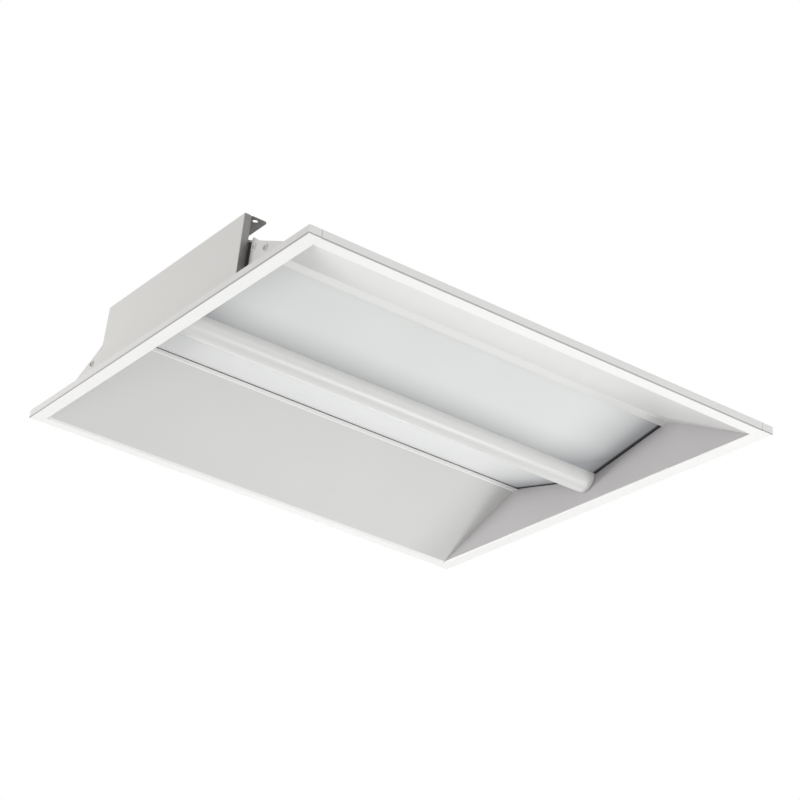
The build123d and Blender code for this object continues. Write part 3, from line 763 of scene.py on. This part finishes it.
@dataclass(frozen=True)
class HexHead:
    """Head of an indented hex washer-head screw; shares are of the washer's radius or the head's height."""

    washer: float = 3.6 * MM
    height: float = 1.8 * MM
    rim_share: float = 0.28
    flats_share: float = 0.82
    wall_share: float = 0.22
    recess_share: float = 0.30
    seat_share: float = 0.90
    rim: Profile = ((1.0, 0.0), (1.0, 0.7), (0.94, 1.0), (0.0, 1.0))
    steps: int = 28

    def add(self, bm: bmesh.types.BMesh, place: Matrix) -> None:
        """Add one head, standing on the local XY plane.

        Args:
            bm: The bmesh that gets the shape.
            place: Where the local frame stands.
        """
        rim = self.height * self.rim_share
        seat = rim * self.seat_share
        spun(bm, scaled(self.rim, self.washer, rim), place, self.steps)
        made = bmesh.ops.create_circle(bm, cap_ends=True, radius=self.washer * self.flats_share, segments=6,
                                       matrix=place @ Matrix.Translation((0.0, 0.0, seat)))
        grown = bmesh.ops.extrude_face_region(bm, geom=[made["verts"][0].link_faces[0]])
        top = [item for item in grown["geom"] if isinstance(item, bmesh.types.BMVert)]
        lid = next(item for item in grown["geom"] if isinstance(item, bmesh.types.BMFace))
        up = (place.to_3x3() @ Vector((0.0, 0.0, 1.0))).normalized()
        bmesh.ops.translate(bm, verts=top, vec=up * (self.height - seat))
        bmesh.ops.inset_individual(bm, faces=[lid], thickness=self.washer * self.wall_share, depth=0.0)
        bmesh.ops.translate(bm, verts=list(lid.verts), vec=up * (-self.recess_share * self.height))


def framed(spot: Sequence[float], up: Sequence[float], along: Sequence[float] | None = None) -> Matrix:
    """Frame at a point, its Z axis along `up`.

    Args:
        spot: The point, in metres.
        up: Direction of the Z axis.
        along: Direction of the X axis, or None for any.

    Returns:
        The frame as a matrix.
    """
    axis_z = Vector(up).normalized()
    axis_x = Vector(along) if along else axis_z.orthogonal()
    axis_x = (axis_x - axis_z * axis_x.dot(axis_z)).normalized()
    turn = Matrix((axis_x, axis_z.cross(axis_x), axis_z)).transposed()
    return Matrix.Translation(Vector(spot)) @ turn.to_4x4()


@dataclass(frozen=True)
class Extent:
    """Box of one loose part of a CAD node, in metres."""

    low: Vector
    high: Vector

    @property
    def middle(self) -> Vector:
        """Middle of the box."""
        return (self.low + self.high) / 2

    @property
    def side(self) -> float:
        """-1 at the near end and 1 at the far end."""
        return math.copysign(1.0, self.middle.x)


def loose_parts(node: str) -> list[Extent]:
    """Boxes of the separate solids of a CAD node.

    Args:
        node: Name of the node.

    Returns:
        One box for each solid, in the order of the node's vertices.
    """
    bm = bmesh.new()
    bm.from_mesh(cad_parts[node].data)
    bmesh.ops.remove_doubles(bm, verts=bm.verts, dist=WELD)
    seen = set()
    found = []
    for start in bm.verts:
        if start in seen:
            continue
        group, front = [], [start]
        seen.add(start)
        while front:
            vert = front.pop()
            group.append(vert)
            near = [edge.other_vert(vert) for edge in vert.link_edges]
            front += [other for other in near if other not in seen]
            seen.update(near)
        corners = [Vector(pick(vert.co[i] for vert in group) for i in range(3)) for pick in (min, max)]
        found.append(Extent(*corners))
    bm.free()
    return found


# ---- Sub-assemblies -----------------------------------------------------------------------------
@dataclass
class Dressed:
    """Sub-assembly that dresses CAD nodes and adds pieces of its own."""

    palette: Palette
    made: list[str] = field(default_factory=list)

    def add(self, bm: bmesh.types.BMesh, name: str, materials: Sequence[bpy.types.Material], slot: str,
            *nodes: str, body: str = "housing", smooth: float = BOXY) -> None:
        """Turn a bmesh into a piece of the model, which may stand for CAD nodes.

        Args:
            bm: The shape, in its place; it is freed.
            name: Name of the piece.
            materials: Its materials, in the order of the faces' material numbers.
            slot: The record's slot of its finish; it is not used.
            nodes: Names of the nodes that it replaces.
            body: The body that it rides on.
            smooth: Edges under this many degrees are shaded smooth.
        """
        bmesh.ops.remove_doubles(bm, verts=bm.verts, dist=WELD)
        bmesh.ops.recalc_face_normals(bm, faces=bm.faces)
        self.sort_faces(bm)
        limit = math.radians(smooth)
        for face in bm.faces:
            face.smooth = True
        for edge in bm.edges:
            edge.smooth = len(edge.link_faces) == 2 and edge.calc_face_angle(0.0) < limit
        piece = linked(name, meshed(bm, name, materials))
        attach(piece, body)
        if nodes:
            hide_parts(*nodes)
        self.made.append(name)

    @staticmethod
    def sort_faces(bm: bmesh.types.BMesh) -> None:
        """Sort faces by their vertices, because spin and extrude leave them in another order each run.

        Args:
            bm: The shape.
        """
        bm.verts.index_update()
        count = len(bm.verts)
        ranks = {}
        for face in bm.faces:
            first, second, third = sorted(vert.index for vert in face.verts)[:3]
            ranks[face] = float((first * count + second) * count + third)
        bm.faces.sort(key=ranks.get)

    def dress(self, material: bpy.types.Material, *nodes: str) -> None:
        """Give nodes their material.

        Args:
            material: The finish.
            nodes: Names of the nodes.
        """
        for name in nodes:
            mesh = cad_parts[name].data
            mesh.materials.clear()
            mesh.materials.append(material)
            self.made.append(name)


@dataclass
class Housing(Dressed):
    """Formed sheet: end plates and caps, reflectors, foam seals and clinch buttons."""

    clinch_foot: float = 4.0 * MM
    clinch_rise: float = 1.3 * MM
    clinch_steps: int = 44
    ring: Profile = ((1.0, 0.0), (0.96, 0.45), (0.88, 0.84), (0.78, 1.0), (0.68, 0.92))
    dimple: Profile = ((0.68, 0.92), (0.6, 0.6), (0.54, 0.25), (0.4, 0.12), (0.0, 0.12))

    def build(self) -> None:
        """Dress the sheet-metal nodes and make the clinch buttons."""
        palette = self.palette
        self.dress(palette.end_plate, "end_plate_near", "end_plate_far")
        self.dress(palette.end_cap, "end_cap_near", "end_cap_far")
        self.dress(palette.reflector, "side_reflector_right", "side_reflector_left")
        self.dress(palette.inner, "end_reflector_near", "end_reflector_far")
        self.dress(palette.pan, "upper_reflector")
        # The seals in the caps' slots are black to stand for the shadow there: painted shadow. The gaskets
        # are black on their own and also stand for the shadow in the gaps.
        self.dress(palette.foam, "light_seals", "diffuser_gasket_right", "diffuser_gasket_left")
        self.dress(palette.zinc, "corner_gussets")
        self.clinch_buttons()

    def clinch_buttons(self) -> None:
        """Pressed buttons on the shoulders, each a ring round a deep dimple."""
        bm = bmesh.new()
        for part in loose_parts("end_rivets"):
            inner = min(abs(part.low.x), abs(part.high.x))
            spot = (part.side * inner, part.middle.y, part.middle.z)
            place = framed(spot, (part.side, 0.0, 0.0))
            for number, profile in enumerate((self.ring, self.dimple)):
                shape = scaled(profile, self.clinch_foot, self.clinch_rise)
                spun(bm, shape, place, self.clinch_steps, number)
        # The dimples take the darker coat: painted shade.
        self.add(bm, "clinch_buttons", [self.palette.clinch, self.palette.dimple], "white_trim_paint",
                 "end_rivets", smooth=ROUND)


@dataclass
class Optics(Dressed):
    """Centre spine, diffusers, boards and spring clips.

    The window dome's heights are in millimetres, and its radii are shares of `window`.
    """

    package: tuple[float, float, float] = (3.0 * MM, 3.0 * MM, 0.62 * MM)
    body_share: float = 0.9
    lid_share: float = 0.44
    package_ease: float = 0.12 * MM
    window: float = 1.15 * MM
    window_dome: Profile = ((1.0, 0.0), (0.8, 0.07), (0.0, 0.1))
    window_steps: int = 12
    seat_out: float = 0.7682
    seat_up: float = 0.6402
    cap_round: float = 2.1 * MM
    cap_segments: int = 5
    arc_steps: int = 48
    spine_radius: float = 17.0 * MM
    spine_middle: float = 31.5 * MM
    shoulder: tuple[float, float] = (17.0 * MM, 40.0 * MM)
    deck: tuple[float, float] = (12.0 * MM, 46.0 * MM)

    def build(self) -> None:
        """Dress the optical nodes, and make the LED packages and the spine's rounded ends."""
        palette = self.palette
        self.dress(palette.spine, "spine_heat_sink")
        self.dress(palette.acrylic, "diffuser_right", "diffuser_left")
        self.dress(palette.board, "led_board_right", "led_board_left")
        self.dress(palette.spring, "lens_clips_right", "lens_clips_left")
        for side, out in (("right", -1.0), ("left", 1.0)):
            self.packages(side, out)
        for end in ("near", "far"):
            self.spine_end(end)

    def packages(self, side: str, out: float) -> None:
        """LED packages of one board: a white body with a phosphor window.

        Args:
            side: Side of the spine, in the nodes' names.
            out: -1 for the right-hand side, 1 for the left.
        """
        bm = bmesh.new()
        up = (0.0, out * self.seat_out, self.seat_up)
        length, width, height = self.package
        for part in loose_parts(f"led_chips_{side}"):
            place = framed(part.middle, up, (1.0, 0.0, 0.0))
            brick(bm, (length, width, height * self.body_share), place, self.package_ease, 0, 1)
            lid = place @ Matrix.Translation((0.0, 0.0, height * self.lid_share))
            spun(bm, scaled(self.window_dome, self.window, MM), lid, self.window_steps, 1)
        self.add(bm, f"led_packages_{side}", [self.palette.package, self.palette.phosphor], "led_phosphor",
                 f"led_chips_{side}")

    def spine_end(self, end: str) -> None:
        """End cap of the spine, its edge rounded where it meets the end wall.

        Args:
            end: Which end, in the node's name.
        """
        node = f"spine_cap_{end}"
        low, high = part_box(node)
        side = math.copysign(1.0, low.x)
        wall = side * max(abs(low.x), abs(high.x))
        bm = bmesh.new()
        first = bm.verts.new((wall, self.spine_radius, self.spine_middle))
        bmesh.ops.spin(bm, geom=[first], cent=(wall, 0.0, self.spine_middle), axis=(1.0, 0.0, 0.0),
                       angle=-math.pi, steps=self.arc_steps, use_duplicate=False)
        bm.verts.ensure_lookup_table()
        arc = list(bm.verts)
        top = [bm.verts.new((wall, sign * spot[0], spot[1]))
               for sign, spot in ((-1, self.shoulder), (-1, self.deck), (1, self.deck), (1, self.shoulder))]
        bmesh.ops.delete(bm, geom=list(bm.edges), context="EDGES_FACES")
        face = bm.faces.new(arc + top)
        grown = bmesh.ops.extrude_face_region(bm, geom=[face], use_keep_orig=True)
        moved = [item for item in grown["geom"] if isinstance(item, bmesh.types.BMVert)]
        bmesh.ops.translate(bm, verts=moved, vec=(-side * (high.x - low.x), 0.0, 0.0))
        bmesh.ops.bevel(bm, geom=list(face.edges), offset=self.cap_round, offset_type="OFFSET",
                        segments=self.cap_segments, profile=0.5, affect="EDGES", clamp_overlap=True,
                        material=-1)
        self.add(bm, f"spine_end_{end}", [self.palette.spine], "white_spine_paint", node, smooth=ROUND)


@dataclass
class DriverBay(Dressed):
    """Driver, covers, hinge, supply entry and disconnect, above the reflector.

    The collar's heights are in millimetres, and its radii are shares of `collar`. Both rounds of the
    bushing hold (distance from the edge, distance under the top), in millimetres.
    """

    screw: HexHead = HexHead()
    terminal: tuple[float, float, float] = (7.0 * MM, 13.0 * MM, 10.0 * MM)
    terminal_out: float = 13.4 * MM
    terminal_up: float = 8.5 * MM
    terminal_ease: float = 0.5 * MM
    entry_pitch_share: float = 0.3
    entry_drop_share: float = 0.1
    tab: float = 10.0 * MM
    collar: float = 1.45 * MM
    collar_ring: Profile = ((1.0, 0.0), (1.0, 0.3), (0.82, 0.38), (0.7, 0.08))
    collar_well: Profile = ((0.7, 0.08), (0.0, 0.05))
    collar_steps: int = 20
    flange_reach: float = 3.0 * MM
    flange_height: float = 2.0 * MM
    bore_wall: float = 3.0 * MM
    lead_in: tuple[float, float] = (0.6 * MM, 0.8 * MM)
    flange_round: Profile = ((0.0, 0.8), (0.3, 0.3), (0.9, 0.0))
    bore_round: Profile = ((1.2, 0.0), (0.4, 0.3), (0.0, 1.0))
    bushing_steps: int = 64
    ring_bore: float = 0.47
    ring_neck: float = 0.71
    ring_neck_height: float = 0.9 * MM
    ring_crown: tuple[float, float] = (0.95, 0.56)
    ring_drop: tuple[float, float] = (0.3 * MM, 0.4 * MM)
    ring_steps: int = 40
    ridge: tuple[float, float, float] = (3.0 * MM, 1.0 * MM, 0.6 * MM)
    ridge_ease: float = 0.6 * MM
    plug_ease: float = 0.35 * MM
    rib_count: int = 3
    rib_first: float = 1.0 * MM
    rib_pitch: float = 1.4 * MM
    rib_width: float = 0.6 * MM
    rib_out: float = 0.8 * MM
    rib_share: float = 0.7
    rib_ease: float = 0.2 * MM
    lead_pitch: float = 3.6 * MM

    def build(self) -> None:
        """Dress the nodes of the bay and make its small parts."""
        palette = self.palette
        self.dress(palette.driver, "led_driver")
        self.dress(palette.galvanised, "driver_cover", "cover_hinge_leaf", "splice_cover",
                   "compartment_divider", "knockout_blank")
        self.dress(palette.zinc, "cover_hinge_pin", "cover_stud")
        self.dress(palette.connector_white, "disconnect_socket")
        for node in ("driver_screws", "splice_screws", "earth_screw", "spine_screws"):
            self.screws(node)
        self.terminals()
        self.bushing()
        self.grommet()
        self.plug()

    def screws(self, node: str) -> None:
        """Indented hex screws in place of a node's plain ones.

        Args:
            node: The CAD node of the screws.
        """
        bm = bmesh.new()
        for part in loose_parts(node):
            if node == "spine_screws":
                outer = part.side * max(abs(part.low.x), abs(part.high.x))
                spot = Vector((outer - part.side * self.screw.height, part.middle.y, part.middle.z))
                place = framed(spot, (part.side, 0.0, 0.0))
            else:
                place = framed((part.middle.x, part.middle.y, part.low.z), (0.0, 0.0, 1.0))
            self.screw.add(bm, place)
        earth = node == "earth_screw"
        finish = self.palette.green if earth else self.palette.zinc
        self.add(bm, f"hex_{node}", [finish], "green_screw" if earth else "zinc_steel", node)

    def terminals(self) -> None:
        """Push-in terminal blocks on the driver's ends, each with three lead entries."""
        low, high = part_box("led_driver")
        length, width, height = self.terminal
        bm = bmesh.new()
        for end, face in ((-1.0, low.x + self.tab), (1.0, high.x - self.tab)):
            for y in (-self.terminal_out, self.terminal_out):
                middle = Vector((face + end * length / 2, y, low.z + self.terminal_up))
                brick(bm, self.terminal, Matrix.Translation(middle), self.terminal_ease, 0, 3)
                for step in (-1.0, 0.0, 1.0):
                    spot = middle + Vector((end * length / 2, step * width * self.entry_pitch_share,
                                            -self.entry_drop_share * height))
                    self.entry(bm, framed(spot, (end, 0.0, 0.0)))
        self.add(bm, "driver_terminals", [self.palette.connector_white, self.palette.nylon],
                 "connector_white")

    def entry(self, bm: bmesh.types.BMesh, place: Matrix) -> None:
        """Collar of a lead entry, dark inside.

        Args:
            bm: The bmesh that gets the shape.
            place: Frame on the block's face.
        """
        # The well's black stands for the shade in the hole: painted shade.
        for number, profile in enumerate((self.collar_ring, self.collar_well)):
            spun(bm, scaled(profile, self.collar, MM), place, self.collar_steps, number)

    def bushing(self) -> None:
        """Snap-in bushing of the supply entry, with a rounded flange."""
        low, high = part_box("supply_bushing")
        height, flange = high.z - low.z, (high.x - low.x) / 2
        seat, sleeve = height - self.flange_height, flange - self.flange_reach
        bore, (back, rise) = sleeve - self.bore_wall, self.lead_in
        profile = [(bore, 0.0), (sleeve - back, 0.0), (sleeve, rise), (sleeve, seat), (flange, seat),
                   *((flange - inward * MM, height - down * MM) for inward, down in self.flange_round),
                   *((bore + outward * MM, height - down * MM) for outward, down in self.bore_round),
                   (bore, 0.0)]
        bm = bmesh.new()
        middle = (low + high) / 2
        place = framed((middle.x, middle.y, low.z), (0.0, 0.0, 1.0))
        spun(bm, profile, place, self.bushing_steps)
        self.add(bm, "entry_bushing", [self.palette.nylon], "black_nylon", "supply_bushing")

    def grommet(self) -> None:
        """Rubber ring of the lead hole, with a rounded flange."""
        low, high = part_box("lead_grommet")
        depth, flange = high.x - low.x, (high.z - low.z) / 2
        bore, neck, rise = flange * self.ring_bore, flange * self.ring_neck, self.ring_neck_height
        outer, inner = (flange * share for share in self.ring_crown)
        outer_drop, inner_drop = self.ring_drop
        profile = [(bore, 0.0), (neck, 0.0), (neck, rise), (flange, rise), (flange, depth - outer_drop),
                   (outer, depth), (inner, depth), (bore, depth - inner_drop), (bore, 0.0)]
        bm = bmesh.new()
        middle = (low + high) / 2
        spun(bm, profile, framed((low.x, middle.y, middle.z), (1.0, 0.0, 0.0)), self.ring_steps)
        self.add(bm, "lead_ring", [self.palette.rubber], "black_rubber", "lead_grommet")

    def plug(self) -> None:
        """Pull-out half of the disconnect: eased body, finger ridge, grip ribs and lead entries."""
        low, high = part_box("disconnect_plug")
        long, out, up = self.ridge
        middle = (low + high) / 2
        size = Vector((high.x - low.x, high.y - low.y - 2.0 * out, high.z - low.z - up))
        bm = bmesh.new()
        body = Matrix.Translation((middle.x, 0.0, low.z + size.z / 2))
        brick(bm, size, body, self.plug_ease)
        grip = Matrix.Translation((low.x + long / 2, 0.0, middle.z))
        brick(bm, (long, high.y - low.y, high.z - low.z), grip, self.ridge_ease, 0, 3)
        for step in range(self.rib_count):
            start = low.x + long + self.rib_first + step * self.rib_pitch
            rib = Matrix.Translation((start, 0.0, low.z + size.z / 2))
            brick(bm, (self.rib_width, size.y + self.rib_out, size.z * self.rib_share), rib, self.rib_ease)
        for y in (-self.lead_pitch, 0.0, self.lead_pitch):
            self.entry(bm, framed((low.x, y, middle.z), (-1.0, 0.0, 0.0)))
        self.add(bm, "plug_half", [self.palette.connector_orange, self.palette.nylon], "connector_orange",
                 "disconnect_plug", body="disconnect_plug")


@dataclass
class GridClips(Dressed):
    """Swing-out clips on their brackets."""

    head: float = 3.8 * MM
    head_height: float = 1.2 * MM
    shank: float = 2.0 * MM
    dome: Profile = ((1.0, 0.0), (1.0, 0.25), (0.93, 0.55), (0.75, 0.82), (0.45, 0.96), (0.0, 1.0))
    rivet_steps: int = 32

    def build(self) -> None:
        """Dress the clips and brackets, and make the pivots' domed rivets."""
        corners = ("near_right", "near_left", "far_left", "far_right")
        self.dress(self.palette.zinc, *(f"clip_bracket_{corner}" for corner in corners),
                   *(f"grid_clip_{corner}" for corner in corners))
        bm = bmesh.new()
        for part in loose_parts("clip_rivets"):
            foot = part.high.z - part.low.z - self.head_height
            profile = [(0.0, 0.0), (self.shank, 0.0), (self.shank, foot),
                       *scaled(self.dome, self.head, self.head_height, foot)]
            place = framed((part.middle.x, part.middle.y, part.low.z), (0.0, 0.0, 1.0))
            spun(bm, profile, place, self.rivet_steps)
        self.add(bm, "pivot_rivets", [self.palette.zinc], "zinc_steel", "clip_rivets", smooth=ROUND)


# ---- Studio -------------------------------------------------------------------------------------
@dataclass(frozen=True)
class SoftPanel:
    """Square soft lamp, by its direction from the troffer."""

    name: str
    toward: tuple[float, float, float]
    strength: float
    size: float = 1.4
    distance: float = 2.4
    in_reflections: bool = True


@dataclass
class Studio:
    """Camera, lamps, world and the pale floor; the lamps were set with the finishes to the photograph."""

    lamps: Sequence[SoftPanel] = (SoftPanel("fill", (-0.45, -0.80, -0.40), 0.13),
                                  SoftPanel("front", (0.25, -0.96, -0.08), 0.15),
                                  SoftPanel("side", (-0.60, 0.74, -0.25), 0.57, 0.5, in_reflections=False),
                                  SoftPanel("rim", (0.45, 0.85, -0.12), 0.03, 0.6),
                                  SoftPanel("key", (0.478, 0.52, -0.71), 0.05, 0.8),
                                  SoftPanel("spine_glow", (0.48, -0.43, -0.77), 0.27, 0.5, 1.7),
                                  SoftPanel("top", (0.12, 0.16, 1.0), 0.30, in_reflections=False))
    camera_place: Vector = field(default_factory=lambda: Vector((-1.198132, -1.937870, -1.053959)))
    camera_right: Vector = field(default_factory=lambda: Vector((0.814812, -0.569540, 0.108191)))
    camera_down: Vector = field(default_factory=lambda: Vector((0.328305, 0.299515, -0.895827)))
    camera_ahead: Vector = field(default_factory=lambda: Vector((0.477805, 0.765451, 0.431031)))
    lens: float = 100.6015
    sensor: float = 36.0
    clip: tuple[float, float] = (0.05, 50.0)
    floor_z: float = -2.8
    floor_size: float = 8.0
    floor_tone: Rgb = (0.87, 0.87, 0.87)
    floor_low: Rgb = (0.84, 0.84, 0.84)
    ambient: float = 0.51

    def build(self) -> None:
        """Make everything in the studio."""
        self.camera()
        for lamp in self.lamps:
            self.lamp(lamp)
        self.world()
        self.floor()
        bpy.context.scene.view_settings.view_transform = "Standard"

    def camera(self) -> None:
        """Camera at the photograph's angle, below the ceiling and off one corner."""
        data = bpy.data.cameras.new("camera")
        data.lens = self.lens
        data.sensor_width = self.sensor
        data.clip_start, data.clip_end = self.clip
        camera = linked("camera", data)
        turn = Matrix((self.camera_right, -self.camera_down, -self.camera_ahead)).transposed()
        camera.matrix_world = Matrix.Translation(self.camera_place) @ turn.to_4x4()
        bpy.context.scene.camera = camera

    @staticmethod
    def lamp(panel: SoftPanel) -> None:
        """Square area lamp that faces the troffer.

        Args:
            panel: Place, size and strength of the lamp.
        """
        data = bpy.data.lights.new(panel.name, "AREA")
        data.shape = "SQUARE"
        data.size = panel.size
        data.energy = panel.strength * (math.pi * panel.distance) ** 2
        lamp = linked(panel.name, data)
        toward = Vector(panel.toward).normalized()
        lamp.matrix_world = framed(toward * panel.distance, toward)
        lamp.visible_camera = False
        lamp.visible_glossy = panel.in_reflections

    def world(self) -> None:
        """World that lights softly and shows white to the camera and in reflections."""
        world = bpy.data.worlds.new("studio")
        bpy.context.scene.world = world
        world.use_nodes = True
        tree = world.node_tree
        tree.nodes.clear()
        rays = tree.nodes.new("ShaderNodeLightPath")
        glow = tree.nodes.new("ShaderNodeBackground")
        white = tree.nodes.new("ShaderNodeBackground")
        either = tree.nodes.new("ShaderNodeMath")
        any_of = tree.nodes.new("ShaderNodeMath")
        either.operation = any_of.operation = "MAXIMUM"
        choose = tree.nodes.new("ShaderNodeMixShader")
        output = tree.nodes.new("ShaderNodeOutputWorld")
        for light, strength in ((glow, self.ambient), (white, 1.0)):
            light.inputs["Color"].default_value = (1.0, 1.0, 1.0, 1.0)
            light.inputs["Strength"].default_value = strength
        link = tree.links.new
        link(rays.outputs["Is Camera Ray"], either.inputs[0])
        link(rays.outputs["Is Glossy Ray"], either.inputs[1])
        link(either.outputs[0], any_of.inputs[0])
        link(rays.outputs["Is Transmission Ray"], any_of.inputs[1])
        link(any_of.outputs[0], choose.inputs[0])
        link(glow.outputs[0], choose.inputs[1])
        link(white.outputs[0], choose.inputs[2])
        link(choose.outputs[0], output.inputs["Surface"])

    def floor(self) -> None:
        """Plain pale floor, well below the camera."""
        bm = bmesh.new()
        bmesh.ops.create_grid(bm, x_segments=1, y_segments=1, size=self.floor_size,
                              matrix=Matrix.Translation((0.0, 0.0, self.floor_z)))
        shader = Shader("floor_paint")
        shader.set(Base_Color=shader.mix(shader.noise(0.4), self.floor_low, self.floor_tone), Roughness=0.9)
        linked("floor", meshed(bm, "floor", [shader.material]))


def main() -> None:
    """Build the studio and every sub-assembly, and report each piece."""
    logging.basicConfig(level=logging.INFO, format="%(name)s %(message)s")
    Studio().build()
    palette = Palette()
    for part in (Housing(palette), Optics(palette), DriverBay(palette), GridClips(palette)):
        part.build()
        for name in part.made:
            log.info("%s: %s", type(part).__name__, name)


if __name__ == "__main__":
    main()
